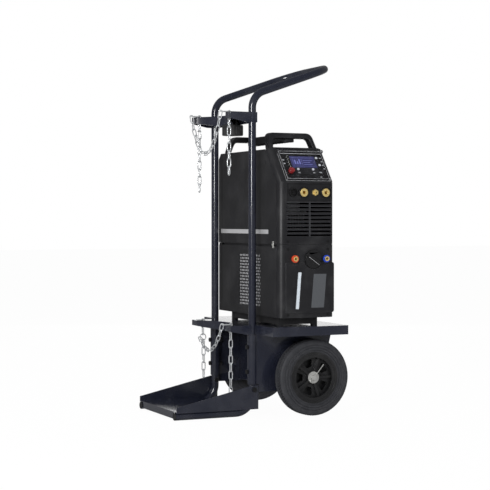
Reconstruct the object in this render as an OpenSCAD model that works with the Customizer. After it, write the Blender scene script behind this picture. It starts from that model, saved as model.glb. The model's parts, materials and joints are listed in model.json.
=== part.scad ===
// Two-wheeled workshop trolley with a gas cylinder stand in front and a
// water-cooled welding set on the tray. Millimetres, Z up, wheels on Z = 0.
// X runs along the axle, -Y is the cylinder side, +Y the side the handle leans to.

/* [Frame tubes] */
// Outside diameter of the frame tubes
tube_od = 30; // [28:1:32]
// Wall of the frame tubes
tube_wall = 2; // [1.5:0.5:3]
// Distance of each upright from the middle of the trolley
upright_x = 185; // [183:1:187]
// Bend radius of the foot, along the middle of the tube
foot_radius = 70; // [65:1:75]
// Height at which the uprights start to bend into the handle
handle_bend_z = 1207; // [1200:1:1220]
// Bend radius between upright and handle
handle_radius = 70; // [60:1:75]
// Slope of the handle above level
handle_rise = 19.25; // [16:0.25:22]
// How far the middle of the handle's cross tube stands behind the uprights
handle_reach = 362; // [350:1:362]
// Radius of the handle's two corners
bow_radius = 115; // [100:1:120]

/* [Toe plate] */
// Front end of the tube feet, in front of the uprights
toe_reach = 326; // [316:1:326]
// Half width over the toe plate's side flanges
toe_half_w = 204; // [204:0.5:206]
// Sheet thickness of all pressed parts
sheet = 3; // [2.5:0.5:3]

/* [Tray and cradles] */
// Half length of the tray along the axle
tray_half_l = 339; // [330:1:345]
// Rear edge of the tray behind the uprights
tray_rear = 344; // [335:1:350]
// Height of the tray's top face
tray_z = 356; // [352:1:358]
// Depth of the tray's folded edge
tray_edge = 36; // [34:1:38]
// Height of the upper cradle's top face
cradle_z = 1190; // [1180:1:1192]
// Depth of the upper cradle's folded edge
cradle_edge = 40; // [34:1:40]
// Reach of the cradle horns in front of the uprights
horn_reach = 98; // [94:1:100]
// Radius of the curved cut-out that the cylinder leans in
cut_radius = 180; // [175:1:185]

/* [Wheels] */
// Radius of the tyres
wheel_r = 150; // [148:1:150]
// Width of the wheels
wheel_w = 60; // [56:1:60]
// Outer face of each wheel from the middle
wheel_outer = 292; // [290:1:296]
// Axle behind the uprights
axle_y = 222; // [216:1:224]
// Diameter of the axle
axle_d = 20; // [18:1:22]

/* [Chains] */
// Wire thickness of a link
link_wire = 4; // [3.5:0.1:4]
// Length of the opening in a link
link_open = 31.6; // [31.6:0.1:32]
// Outside width of a link
link_w = 18; // [18:0.5:19]
// Spacing of the links along a chain
link_pitch = 31; // [30.8:0.1:31]

/* [Welding set] */
// Front face of the welding set
set_front = 325; // [323:1:326]
// Rear face of the welding set
set_rear = -262; // [-265:1:-258]
// Middle of the welding set behind the uprights
set_y = 170; // [168:1:171]
// Width of the welding set
set_w = 240; // [236:1:242]
// Underside of the water cooler
cooler_z = 389.5; // [389:0.5:390]
// Joint between cooler and power source
joint_z = 674.5; // [673:0.5:676]
// Top of the power source's case
set_top = 1046; // [1044:1:1048]
// Thickness of the case sheet
case_t = 1.5; // [1.2:0.1:1.6]
// Height of the recess between the two cases
joint_gap = 9; // [6:0.5:10]

/* [Hidden] */
$fn = 48;
gap = 0.4;
tube_r = tube_od / 2;
toe_front = -toe_reach;
cap_lip = 4;
span_front = toe_front - cap_lip;
span_rear = handle_reach + tube_r;
mid_y = (span_front + span_rear) / 2;

foot_z = tube_r + foot_radius;
bow_joint_z = cradle_z + 1;
bend_angle = 90 - handle_rise;
slope_y = handle_radius * (1 - cos(bend_angle));
slope_z = handle_bend_z + handle_radius * sin(bend_angle);
slope_len = (handle_reach - slope_y) / cos(handle_rise) - bow_radius;

sleeve_r = 19;
sleeve_z0 = 125;
sleeve_top = tray_z - tray_edge - 0.3;
panel_outer = 200;
panel_z0 = 95;
bolt_r = 5;
bolt_heights = [174, 271];
toe_bolt_z = 105;

horn_x = 198;
front_edge_y = 16;
cut_y = -21 - cut_radius;
upper_slot = [151, -84];
lower_slot = [142, -73];
slot_w = 6.5;
slot_len = 20;
slot_drop = 11.5;

wheel_mid = wheel_outer - wheel_w / 2;
rim_r = 101;
rim_fit = 0.02;
hub_r = 24;
hub_end = wheel_outer - 16;
hub_start = wheel_outer - wheel_w + 2;
run_fit = 0.08;
axle_end = hub_end + 12;
washer_r = 23.5;
pin_r = 1.9;
pin_angle = 40;
pin_x = hub_end + 7.5;

front_depth = 25;
case_front = set_front - front_depth;
case_rear = set_rear + 24;
y0 = set_y - set_w / 2;
y1 = set_y + set_w / 2;
fascia_z = 916;
fascia_tilt = 38;
fascia_len = 175;
fascia_y0 = y0 + 32;
fascia_y1 = y1 - 8;
cover_y0 = fascia_y0;
cover_y1 = y1 - 16;
cover_hinge = 147;
cover_lift = 14;
cover_pin_x = cover_lift - 3.5;
ear_t = 4;
button_seats = [[151, 64], [216, 64], [247, 122], [251, 86]];
button_r = 5;
knob_seat = [117, 53];
knob_r = 12;
lcd_low = [130, 72];
lcd_high = [239, 131];

coupling_y = [115.5, 251.5];
coupling_z = 618;
cap_seat = [195, 617];
loop_h = 68;
grip_half = 20;
nipple_r = 9.5;
socket_y = [158, 253];
gas_y = 207.5;
control_y = 114;
socket_z = 875;
recess_x = set_front - 9;
half_link = (link_open + link_wire) / 2;
flat_z = link_wire / 2;
hook_gap = link_wire + 0.3;
ring_r = 13;
ring_z = tray_z - slot_drop - link_pitch - half_link + hook_gap - ring_r;

// ---- shared shapes ----

module in_frame() {
    translate([0, -mid_y, 0]) children();
}

module both_sides() {
    children();
    mirror([1, 0, 0]) children();
}

module ring_2d(r, wall) {
    difference() {
        circle(r);
        circle(r - wall);
    }
}

module pipe(h) {
    linear_extrude(h) ring_2d(tube_r, tube_wall);
}

module pipe_bend(r, angle) {
    rotate_extrude(angle = angle) translate([r, 0]) ring_2d(tube_r, tube_wall);
}

module slab(low, high) {
    translate(low) cube(high - low);
}

module cylinder_at(z0, z1, r) {
    translate([0, 0, z0]) cylinder(r = r, h = z1 - z0);
}

module rod_x(x0, x1, r) {
    translate([x0, 0, 0]) rotate([0, 90, 0]) cylinder(r = r, h = x1 - x0);
}

module rod_y(y_from, y_to, r) {
    translate([0, y_from, 0]) rotate([-90, 0, 0]) cylinder(r = r, h = y_to - y_from);
}

module hex_rod_y(y_from, y_to, r) {
    translate([0, y_from, 0]) rotate([-90, 0, 0]) cylinder(r = r, h = y_to - y_from, $fn = 6);
}

// a polygon whose corners are rounded by arcs of radius r
function unit(v) = v / norm(v);
function corner_arc(a, b, c, r, steps) =
    let (u = unit(a - b), w = unit(c - b), half = acos(u * w) / 2, reach = r / tan(half),
        centre = b + unit(u + w) * r / sin(half), p = b + u * reach - centre, q = b + w * reach - centre,
        turn = (180 - 2 * half) * sign(p[0] * q[1] - p[1] * q[0]))
    [for (i = [0 : steps]) let (t = turn * i / steps)
        centre + [p[0] * cos(t) - p[1] * sin(t), p[0] * sin(t) + p[1] * cos(t)]];
function rounded(points, r, steps = 6) = let (n = len(points))
    [for (i = [0 : n - 1])
        each corner_arc(points[(i + n - 1) % n], points[i], points[(i + 1) % n], r, steps)];

// ---- frame ----

module upright() {
    difference() {
        union() {
            translate([upright_x, 0, foot_z]) pipe(bow_joint_z - foot_z);
            translate([upright_x, -foot_radius, foot_z]) rotate([-90, 0, 90]) pipe_bend(foot_radius, 90);
            translate([upright_x, toe_front, tube_r]) rotate([-90, 0, 0]) pipe(toe_reach - foot_radius);
        }
        for (z = bolt_heights)
            translate([upright_x, 0, z]) rod_y(-tube_od, tube_od, bolt_r + 0.1);
        translate([0, 0, toe_bolt_z]) rod_x(upright_x - tube_od, upright_x + tube_od, bolt_r + 0.1);
    }
}

module left_upright() {
    color("#151a28") in_frame() upright();
}

module right_upright() {
    color("#151a28") in_frame() mirror([1, 0, 0]) upright();
}

module on_handle_slope() {
    translate([0, slope_y, slope_z]) rotate([handle_rise, 0, 0]) children();
}

module handle_bow() {
    color("#141823") in_frame() {
        both_sides() {
            translate([upright_x, 0, bow_joint_z]) pipe(handle_bend_z - bow_joint_z);
            translate([upright_x, handle_radius, handle_bend_z]) rotate([90, 0, -90])
                pipe_bend(handle_radius, bend_angle);
            on_handle_slope() {
                translate([upright_x, 0, 0]) rotate([-90, 0, 0]) pipe(slope_len);
                translate([upright_x - bow_radius, slope_len, 0]) pipe_bend(bow_radius, 90);
            }
        }
        on_handle_slope() translate([bow_radius - upright_x, slope_len + bow_radius, 0])
            rotate([0, 90, 0]) pipe(2 * (upright_x - bow_radius));
    }
}

module tube_end_caps() {
    color("#0c0c0e") in_frame() both_sides() translate([upright_x, 0, tube_r]) {
        rod_y(toe_front - cap_lip, toe_front, tube_r - 0.5);
        rod_y(toe_front, toe_front + 18, tube_r - tube_wall - 0.05);
    }
}

// ---- pressed sheet parts ----

module cradle_outline() {
    difference() {
        translate([-horn_x, -horn_reach]) square([2 * horn_x, horn_reach + front_edge_y]);
        translate([0, cut_y]) circle(cut_radius, $fn = 120);
    }
}

// folded edge round the horns and the curved cut-out
module cradle_edges() {
    cut_half = sqrt(pow(cut_radius, 2) - pow(cut_y + horn_reach, 2));
    both_sides() {
        translate([horn_x - sheet, -horn_reach]) square([sheet, horn_reach + front_edge_y]);
        translate([cut_half, -horn_reach]) square([horn_x - cut_half, sheet]);
    }
    intersection() {
        translate([0, cut_y]) difference() {
            circle(cut_radius + sheet, $fn = 120);
            circle(cut_radius, $fn = 120);
        }
        translate([-horn_x, -horn_reach]) square([2 * horn_x, horn_reach + front_edge_y]);
    }
}

module chain_slots(slot, z) {
    straight = slot_len - slot_w;
    both_sides() translate([slot[0], slot[1], z - sheet - 1]) {
        slab([-slot_w / 2, -straight / 2, 0], [slot_w / 2, straight / 2, sheet + 2]);
        for (y = [-straight / 2, straight / 2])
            translate([0, y, 0]) cylinder(r = slot_w / 2, h = sheet + 2, $fn = 24);
    }
}

// the folded edge gets shallower towards the tips of the horns
module horn_taper(z, depth) {
    rise = 14;
    translate([0, -30, z - depth]) rotate([-atan(rise / (horn_reach - 30)), 0, 0])
        slab([-horn_x - 1, -2 * horn_reach, -60], [horn_x + 1, 0, 0]);
}

module tube_holes(z0, z1) {
    both_sides() translate([upright_x, 0, z0]) cylinder(r = tube_r + 0.1, h = z1 - z0);
}

module upper_cradle() {
    color("#171b26") in_frame() difference() {
        union() {
            translate([0, 0, cradle_z - sheet]) linear_extrude(sheet) cradle_outline();
            translate([0, 0, cradle_z - cradle_edge]) linear_extrude(cradle_edge - 1) cradle_edges();
            slab([-horn_x, front_edge_y - sheet, cradle_z - cradle_edge],
                [horn_x, front_edge_y, cradle_z - 1]);
        }
        horn_taper(cradle_z, cradle_edge);
        tube_holes(cradle_z - cradle_edge - 1, cradle_z + 1);
        chain_slots(upper_slot, cradle_z);
    }
}

module tray() {
    z0 = tray_z - tray_edge;
    color("#151925") in_frame() difference() {
        union() {
            translate([0, 0, tray_z - sheet]) linear_extrude(sheet) {
                cradle_outline();
                translate([-tray_half_l, front_edge_y]) square([2 * tray_half_l, tray_rear - front_edge_y]);
            }
            translate([0, 0, z0]) linear_extrude(tray_edge - 1) {
                cradle_edges();
                translate([-tray_half_l, tray_rear - sheet]) square([2 * tray_half_l, sheet]);
                both_sides() {
                    translate([tray_half_l - sheet, front_edge_y]) square([sheet, tray_rear - front_edge_y]);
                    translate([horn_x - sheet, front_edge_y]) square([tray_half_l - horn_x + sheet, sheet]);
                }
            }
        }
        horn_taper(tray_z, tray_edge);
        tube_holes(z0 - 1, tray_z + 1);
        chain_slots(lower_slot, tray_z);
    }
}

module toe_plate() {
    floor_rear = -20;
    flange_rear = 18;
    inner = toe_half_w - sheet;
    notch_x = upright_x - tube_r - 2;
    color("#171b25") in_frame() {
        difference() {
            slab([-toe_half_w, toe_front, tube_od + 0.1], [toe_half_w, floor_rear, tube_od + 0.1 + sheet]);
            both_sides() slab([notch_x, -72, tube_od - 1], [inner, 0, tube_od + sheet + 1]);
        }
        slab([-notch_x, toe_front, 5], [notch_x, toe_front + sheet, tube_od + 1]);
        both_sides() difference() {
            translate([inner, 0, 0]) rotate([90, 0, 90]) linear_extrude(sheet)
                polygon([[toe_front, 28], [flange_rear, 28], [flange_rear, 122], [-12, 120],
                    [toe_front, 50]]);
            translate([0, 0, toe_bolt_z]) rod_x(inner - 1, toe_half_w + 1, bolt_r + 0.1);
        }
    }
}

module side_panel() {
    top = tray_z - sheet - 0.2;
    inside_front = front_edge_y + sheet + 0.5;
    difference() {
        union() {
            translate([panel_outer - sheet, 0, 0]) rotate([90, 0, 90]) linear_extrude(sheet)
                polygon([[10, sleeve_z0], [10, sleeve_top], [inside_front, sleeve_top], [inside_front, top],
                    [tray_rear - sheet - 0.5, top], [tray_rear - sheet - 0.5, 312], [290, panel_z0],
                    [22, panel_z0], [22, sleeve_z0]]);
            translate([upright_x, 0, sleeve_z0]) cylinder(r = sleeve_r, h = sleeve_top - sleeve_z0);
            translate([0, axle_y, wheel_r]) rod_x(panel_outer - sheet, panel_outer + 3, axle_d / 2 + 12);
        }
        translate([upright_x, 0, sleeve_z0 - 1]) cylinder(r = tube_r + 0.1, h = sleeve_top - sleeve_z0 + 2);
        for (z = bolt_heights)
            translate([upright_x, 0, z]) rod_y(-sleeve_r - 1, sleeve_r + 1, bolt_r + 0.1);
        translate([0, axle_y, wheel_r]) rod_x(panel_outer - sheet - 1, panel_outer + 6, axle_d / 2 + 0.05);
    }
}

module left_side_panel() {
    color("#1a2033") in_frame() side_panel();
}

module right_side_panel() {
    color("#1a2033") in_frame() mirror([1, 0, 0]) side_panel();
}

module cross_panel() {
    inner = panel_outer - sheet - 0.1;
    y = 115;
    color("#1b1d26") in_frame() {
        slab([-inner, y, panel_z0 + 8], [inner, y + sheet, tray_z - sheet - 1]);
        both_sides() slab([inner - sheet, y + 1, panel_z0 + 8], [inner, y + 30, tray_z - sheet - 1]);
        slab([-inner, y + 1, panel_z0 + 8], [inner, y + 30, panel_z0 + 8 + sheet]);
    }
}

// an M10 bolt along Y with its head at y_head and its nut at y_nut
module frame_bolt(y_head, y_nut) {
    head_r = 9.8;
    difference() {
        union() {
            hex_rod_y(y_head - 7, y_head, head_r);
            rod_y(y_head - 0.5, y_nut + 12, bolt_r);
            hex_rod_y(y_nut, y_nut + 8, head_r);
        }
        rod_y(y_head - 8, y_head - 5.5, bolt_r - 1);
    }
}

module frame_bolts() {
    color("#1c1e24") in_frame() both_sides() {
        for (z = bolt_heights)
            translate([upright_x, 0, z]) frame_bolt(-sleeve_r, sleeve_r);
        translate([upright_x, 0, toe_bolt_z]) rotate([0, 0, 90])
            frame_bolt(upright_x - toe_half_w, tube_r);
    }
}

// ---- wheels ----

module axle() {
    color("#8d9094") in_frame() difference() {
        translate([0, axle_y, wheel_r]) rod_x(-axle_end, axle_end, axle_d / 2);
        both_sides() translate([pin_x, axle_y, wheel_r]) rotate([-pin_angle, 0, 0])
            translate([0, 0, -axle_d]) cylinder(r = pin_r + 0.1, h = 2 * axle_d);
    }
}

// wheel parts are drawn round the Z axis, outer face up, then stood on the axle
module on_left_axle() {
    translate([0, axle_y, wheel_r]) rotate([0, 90, 0]) children();
}

module tyre() {
    shoulder = 14;
    half = wheel_w / 2;
    on_left_axle() translate([0, 0, wheel_mid]) rotate_extrude($fn = 120) {
        difference() {
            translate([rim_r, -half]) square([wheel_r - rim_r, wheel_w]);
            for (s = [-1, 1]) {
                translate([wheel_r - shoulder, s * (half - shoulder)]) difference() {
                    translate([0, s > 0 ? 0 : -shoulder - 1]) square([shoulder + 1, shoulder + 1]);
                    circle(shoulder);
                }
                translate([rim_r - 1, s > 0 ? half - 5 : -half - 1]) square([9, 6]);
                translate([118, s * half]) circle(1.6);
                translate([128, s * half]) circle(1.6);
            }
            for (z = [-12, 0, 12])
                translate([wheel_r, z]) circle(2);
        }
    }
}

module left_tyre() {
    color("#3a3a3c") in_frame() tyre();
}

module right_tyre() {
    color("#3a3a3c") in_frame() mirror([1, 0, 0]) tyre();
}

module rim() {
    spoke_z = wheel_outer - 30;
    pocket_r = 78;
    on_left_axle() difference() {
        union() {
            translate([0, 0, hub_start]) cylinder(r = hub_r, h = hub_end - hub_start);
            translate([0, 0, wheel_outer - wheel_w + 4]) linear_extrude(wheel_w - 8)
                ring_2d(rim_r - rim_fit, 9, $fn = 120);
            translate([0, 0, wheel_outer - 16]) linear_extrude(10) ring_2d(rim_r - rim_fit, 22, $fn = 120);
            translate([0, 0, wheel_outer - wheel_w + 6]) linear_extrude(10)
                ring_2d(rim_r - rim_fit, 22, $fn = 120);
            translate([0, 0, spoke_z - 4]) cylinder(r = rim_r - 4, h = 8, $fn = 96);
            translate([0, 0, spoke_z - 23]) cylinder(r = rim_r - 4, h = 4, $fn = 96);
            for (i = [0 : 4])
                rotate([0, 0, i * 72 + 90])
                    slab([hub_r - 4, -5, spoke_z - 14], [pocket_r + 14, 5, spoke_z + 13]);
        }
        for (i = [0 : 4])
            rotate([0, 0, i * 72 + 126]) translate([0, 0, spoke_z - 5]) linear_extrude(10)
                polygon(rounded([[40, -11], [70, -22], [70, 22], [40, 11]], 6));
        translate([0, 0, hub_start - 1]) cylinder(r = axle_d / 2 + run_fit, h = wheel_w);
    }
}

module left_rim() {
    color("#141416") in_frame() rim();
}

module right_rim() {
    color("#141416") in_frame() mirror([1, 0, 0]) rim();
}

module axle_washers() {
    color("#c9ccd0") in_frame() both_sides() on_left_axle() {
        translate([0, 0, hub_end + gap]) difference() {
            cylinder(r = washer_r, h = 3);
            translate([0, 0, -1]) cylinder(r = axle_d / 2 + 0.05, h = 6);
        }
        translate([0, 0, panel_outer + 3.1]) difference() {
            cylinder(r = axle_d / 2 + 4, h = hub_start - gap - panel_outer - 3.1);
            translate([0, 0, -1]) cylinder(r = axle_d / 2 + 0.05, h = 60);
        }
    }
}

module split_pins() {
    eye = 6;
    color("#d5d8dc") in_frame() both_sides() translate([pin_x, axle_y, wheel_r]) rotate([-pin_angle, 0, 0]) {
        translate([0, 0, -axle_d / 2 - 3]) cylinder(r = pin_r, h = axle_d / 2 + 68);
        translate([0, 0, -axle_d / 2 - 3 - eye + 0.6]) rotate([0, 90, 0]) rotate_extrude()
            translate([eye - pin_r, 0]) circle(pin_r, $fn = 24);
    }
}

// ---- torch holder ----

// a ribbed cup, open at the top, hung under the bar of the upper cradle by two posts
module torch_holder() {
    r = 41;
    wall = 3;
    post_x = 33;
    post_r = 4;
    z0 = 1108;
    z1 = cradle_z - cradle_edge - 0.1;
    color("#26272b") in_frame() translate([0, -2, 0]) {
        difference() {
            cylinder_at(z0, z1, r);
            cylinder_at(z0 + wall, z1 + 1, r - wall);
        }
        for (a = [0 : 15 : 345])
            rotate([0, 0, a]) slab([r - 0.5, -1.2, z0 + 2], [r + 1.5, 1.2, z1 - 2]);
        for (x = [-post_x, post_x])
            translate([x, 2, 0]) cylinder_at(z0 + 1, cradle_z - sheet - 0.1, post_r);
    }
}

// ---- chains ----

module chain_link() {
    bend = (link_w - link_wire) / 2;
    straight = link_open + link_wire - 2 * bend;
    for (s = [-1, 1]) {
        translate([s * bend, 0, -straight / 2]) cylinder(r = link_wire / 2, h = straight, $fn = 24);
        translate([0, 0, s * straight / 2]) rotate([s * 90, 0, 0])
            rotate_extrude(angle = 180, $fn = 32) translate([bend, 0]) circle(link_wire / 2, $fn = 24);
    }
}

// links that hang straight down from a point, every other one turned
module hanging_links(count, first_turn = 0) {
    for (i = [0 : count - 1])
        translate([0, 0, -link_pitch * (i + 0.5)]) rotate([0, 0, first_turn + 90 * (i % 2)]) chain_link();
}

// a free-hanging chain: arc length s from its lowest point gives the place along X and the height
function sag_x(s, a) = a * ln(s / a + sqrt(pow(s / a, 2) + 1));
function sag_z(s, a) = a * sqrt(1 + pow(s / a, 2)) - a;

// links along a sagging chain whose first link is centred at arc length first_s
module swag_links(first_s, count, a) {
    for (i = [0 : count - 1]) {
        s = first_s + i * link_pitch;
        translate([sag_x(s, a), 0, sag_z(s, a)]) rotate([0, 90 - atan(s / a), 0])
            rotate([0, 0, 90 * ((i + 1) % 2)]) chain_link();
    }
}

// the link that stands in the slot
module slot_link(slot, z) {
    translate([slot[0], slot[1], z - slot_drop]) rotate([0, 0, 90]) chain_link();
}

// the link that lies on the horn and reaches over its front edge
module flat_link(slot, z) {
    translate([slot[0], slot[1] - half_link, z + flat_z]) rotate([90, 0, 0]) chain_link();
}

// a round ring hangs one link below the right horn of the tray
module chain_anchors() {
    color("#d8dadd") in_frame() {
        both_sides() {
            slot_link(upper_slot, cradle_z);
            flat_link(upper_slot, cradle_z);
            slot_link(lower_slot, tray_z);
            flat_link(lower_slot, tray_z);
        }
        translate([-lower_slot[0], lower_slot[1], 0]) {
            translate([0, 0, tray_z - slot_drop - link_pitch]) chain_link();
            translate([0, 0, ring_z]) rotate([0, 90, 0]) rotate_extrude()
                translate([ring_r, 0]) circle(link_wire / 2, $fn = 24);
        }
    }
}

module tail(slot, z, count) {
    translate([slot[0], slot[1], z - slot_drop - link_pitch / 2]) hanging_links(count);
}

module upper_chain_left_tail() {
    color("#d8dadd") in_frame() tail(upper_slot, cradle_z, 7);
}

module upper_chain_right_tail() {
    color("#d8dadd") in_frame() mirror([1, 0, 0]) tail(upper_slot, cradle_z, 9);
}

module lower_chain_left_tail() {
    color("#d8dadd") in_frame() tail(lower_slot, tray_z, 8);
}

// hangs from the low point of the ring
module lower_chain_right_tail() {
    z = ring_z - ring_r + hook_gap - half_link + link_pitch / 2;
    color("#d8dadd") in_frame() translate([-lower_slot[0], lower_slot[1] + 3, z + 0.4]) hanging_links(5);
}

// evenly hung between the two upper horns
module upper_chain_swag() {
    count = 15;
    a = 88.9;
    end_s = (count - 1) / 2 * link_pitch + half_link;
    color("#d8dadd") in_frame()
        translate([0, upper_slot[1] - 2 * half_link, cradle_z + flat_z + hook_gap - sag_z(end_s, a)])
            swag_links(-(count - 1) / 2 * link_pitch, count, a);
}

// hung from the front of the ring on the right to the left horn
module lower_chain_swag() {
    count = 11;
    a = 147.7;
    first_s = -106.3;
    end_s = first_s + (count - 1) * link_pitch + half_link;
    left_end = [lower_slot[0], lower_slot[1] - 2 * half_link];
    right_end = [-lower_slot[0] - 4.3, lower_slot[1] - ring_r + 0.8];
    turn = atan((left_end[1] - right_end[1]) / (left_end[0] - right_end[0]));
    color("#d8dadd") in_frame() translate([left_end[0], left_end[1], tray_z + flat_z + hook_gap])
        rotate([0, 0, turn]) translate([-sag_x(end_s, a), 0, -sag_z(end_s, a)]) swag_links(first_s, count, a);
}

// ---- water cooler ----

module case_shell(z0, z1) {
    difference() {
        slab([case_rear, y0, z0], [case_front, y1, z1]);
        slab([case_rear - 1, y0 + case_t, z0 - 1], [case_front + 1, y1 - case_t, z1 - case_t]);
    }
}

module cooler_case() {
    color("#303134") in_frame() case_shell(cooler_z + 2, joint_z - joint_gap);
}

module cooler_chassis() {
    color("#232427") in_frame() {
        slab([case_rear, y0, cooler_z], [case_front, y1, cooler_z + 1.9]);
        slab([set_rear + 4, y0, cooler_z], [case_rear - 0.2, y1, joint_z - joint_gap]);
        for (x = [-170, 258], y = [70, 218])
            slab([x, y, tray_z + 0.1], [x + 20, y + 20, cooler_z]);
        slab([-170, 72, tray_z + 6], [278, 236, cooler_z]);
    }
}

module front_plan() {
    intersection() {
        union() {
            translate([0, y0 + front_depth]) square([front_depth, set_w - 2 * front_depth]);
            for (y = [y0 + front_depth, y1 - front_depth])
                translate([0, y]) circle(front_depth);
        }
        translate([0, y0]) square([front_depth, set_w]);
    }
}

// the slanted strip of the level window
module window_prism(h) {
    rotate([90, 0, 90]) linear_extrude(h) polygon([[119, 424], [133, 424], [144, 566], [130, 566]]);
}

module cooler_front() {
    wall = 3;
    color("#2b2c2f") in_frame() difference() {
        union() {
            translate([case_front, 0, cooler_z]) linear_extrude(joint_z - cooler_z - 0.5) front_plan();
            translate([set_front - 14, 0, 0]) rotate([90, 0, 90]) linear_extrude(18) difference() {
                polygon(rounded([[77, 409], [y1 - 4, 409], [y1 - 4, 604], [77, 604]], 8));
                translate(cap_seat) circle(39);
                for (y = coupling_y)
                    translate([y, coupling_z]) circle(24);
            }
        }
        slab([case_front - 1, y0 + 12, cooler_z + wall], [set_front - wall - 1, y1 - 12, joint_z - 5]);
        for (y = coupling_y)
            translate([0, y, coupling_z]) rod_x(case_front, set_front + 3, nipple_r + 0.1);
        translate([0, cap_seat[0], cap_seat[1]]) rod_x(case_front, set_front + 3, 33);
        translate([set_front - 2, 0, 0]) window_prism(8);
    }
}

module level_window() {
    color("#c6d2e6") in_frame() translate([set_front - 1.9, 0, 0]) window_prism(4.4);
}

module coolant_tank() {
    color("#d9dcd8") in_frame() difference() {
        union() {
            slab([190, y0 + 6, cooler_z + 4], [290, y1 - 6, 660]);
            translate([0, cap_seat[0], cap_seat[1]]) rod_x(288, set_front + 4, 28);
        }
        slab([193, y0 + 9, cooler_z + 7], [287, y1 - 9, 657]);
        translate([0, cap_seat[0], cap_seat[1]]) rod_x(280, set_front + 5, 25);
    }
}

module filler_cap() {
    x0 = set_front + 0.4;
    color("#17181a") in_frame() translate([0, cap_seat[0], cap_seat[1]]) {
        difference() {
            union() {
                rod_x(x0, x0 + 8, 36);
                rotate([-35, 0, 0]) slab([x0 + 7, -34, -6], [x0 + 13.4, 34, 6]);
            }
            rod_x(x0 - 1, x0 + 5, 28.5);
        }
        rod_x(set_front - 14, x0 + 4, 24.6);
    }
}

module hose_couplings() {
    color("#c39a4d") in_frame() for (y = coupling_y)
        translate([0, y, coupling_z]) difference() {
            rod_x(case_front + 2, set_front + 13.5, nipple_r);
            rod_x(case_front + 1, set_front + 14.5, 5);
        }
}

module coupling_collar(y) {
    in_frame() translate([0, y, coupling_z]) difference() {
        union() {
            rod_x(set_front + 2, set_front + 9, 14.5);
            rod_x(set_front + 0.4, set_front + 12, 12.5);
        }
        rod_x(set_front - 2, set_front + 13, nipple_r + 0.06);
    }
}

module red_collar() {
    color("#b8442c") coupling_collar(coupling_y[0]);
}

module blue_collar() {
    color("#3a4fb0") coupling_collar(coupling_y[1]);
}

module coolant_pump() {
    z = cooler_z + 62;
    color("#55585c") in_frame() translate([0, 190, z]) {
        rod_x(-190, -90, 46);
        rod_x(-90, -50, 34);
        slab([-170, -40, -59], [-80, 40, -30]);
        translate([-68, 0, 20]) cylinder(r = 9, h = 50);
    }
}

module radiator() {
    color("#8c8f92") in_frame() difference() {
        slab([-62, y0 + 6, 412], [158, y0 + 36, 642]);
        for (z = [422 : 11 : 630])
            slab([-52, y0 + 5, z], [148, y0 + 37, z + 6]);
    }
}

module fan_blades(r, hub, depth, count) {
    cylinder(r = hub, h = depth);
    for (i = [0 : count - 1])
        rotate([0, 0, i * 360 / count]) translate([hub - 3, 0, depth / 2]) rotate([35, 0, 0])
            slab([0, -hub * 0.7, -1], [r - hub + 3, hub * 0.7, 1]);
}

module cooler_fan() {
    color("#1a1b1d") in_frame() translate([48, y0 + 44, 527]) rotate([-90, 0, 0]) fan_blades(95, 24, 22, 7);
}

// ---- power source ----

module welder_case() {
    color("#303134") in_frame() difference() {
        translate([0, y1, 0]) rotate([90, 0, 0]) linear_extrude(set_w)
            polygon([[case_rear, joint_z + 1.2], [case_front, joint_z + 1.2], [case_front, fascia_z - 10],
                [case_front - 109, set_top], [case_rear, set_top]]);
        translate([0, y1 - case_t, 0]) rotate([90, 0, 0]) linear_extrude(set_w - 2 * case_t)
            polygon([[case_rear - 1, joint_z - 1], [case_front + 1, joint_z - 1],
                [case_front + 1, fascia_z - 11], [case_front - 110, set_top - case_t],
                [case_rear - 1, set_top - case_t]]);
        translate([0, y1 - 12, 0]) rotate([90, 0, 0]) linear_extrude(set_w - 24)
            polygon([[case_front - 2, fascia_z - 30], [case_front + 60, fascia_z - 30],
                [case_front + 20, set_top + 60], [case_front - 106, set_top - 3]]);
    }
}

module welder_chassis() {
    color("#232427") in_frame() {
        slab([case_rear, y0, joint_z - 0.8], [case_front, y1, joint_z + 1.1]);
        slab([case_rear + 6, y0 + 9, joint_z - joint_gap + 0.1], [case_front - 1, y1 - 9, joint_z - 0.8]);
        difference() {
            slab([-200, y0 + 4, joint_z + 1], [-198, y1 - 4, 900]);
            translate([0, set_y, 785]) rod_x(-201, -197, 82);
        }
    }
}

module on_fascia() {
    translate([set_front, 0, fascia_z]) rotate([0, -fascia_tilt, 0]) children();
}

// plan of a front that runs far back, with its side edges rounded by r
module deep_plan(depth, r) {
    translate([-depth, y0]) square([depth - r, set_w]);
    translate([-r - 1, y0 + r]) square([r + 1, set_w - 2 * r]);
    for (y = [y0 + r, y1 - r])
        translate([-r, y]) circle(r);
}

// upright and sloping part of the front in one shell, open at the back
module front_shell() {
    far = 260;
    inner_z = fascia_z - front_depth * tan(fascia_tilt / 2);
    difference() {
        intersection() {
            translate([set_front, 0, joint_z + 0.5]) linear_extrude(far + set_top - joint_z)
                deep_plan(far, front_depth);
            on_fascia() translate([0, 0, -far]) linear_extrude(fascia_len + far)
                deep_plan(far, front_depth - 1.5);
        }
        translate([0, y1 + 1, 0]) rotate([90, 0, 0]) linear_extrude(set_w + 2)
            polygon([[case_front, joint_z], [case_front, inner_z],
                [case_front - far * sin(fascia_tilt), inner_z + far * cos(fascia_tilt)], [0, inner_z + far],
                [0, joint_z]]);
    }
}

// two ears with short pins carry the clear cover
module cover_ears() {
    on_fascia() {
        for (y = [cover_y0 - gap - ear_t, cover_y1 + gap])
            slab([-14, y, cover_hinge - 5], [cover_lift + 1, y + ear_t, cover_hinge + 6]);
        translate([cover_pin_x, 0, cover_hinge + 1]) {
            rod_y(cover_y0 - 2, cover_y0 + 12, 1.5);
            rod_y(cover_y1 - 12, cover_y1 + 2, 1.5);
        }
    }
}

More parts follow.
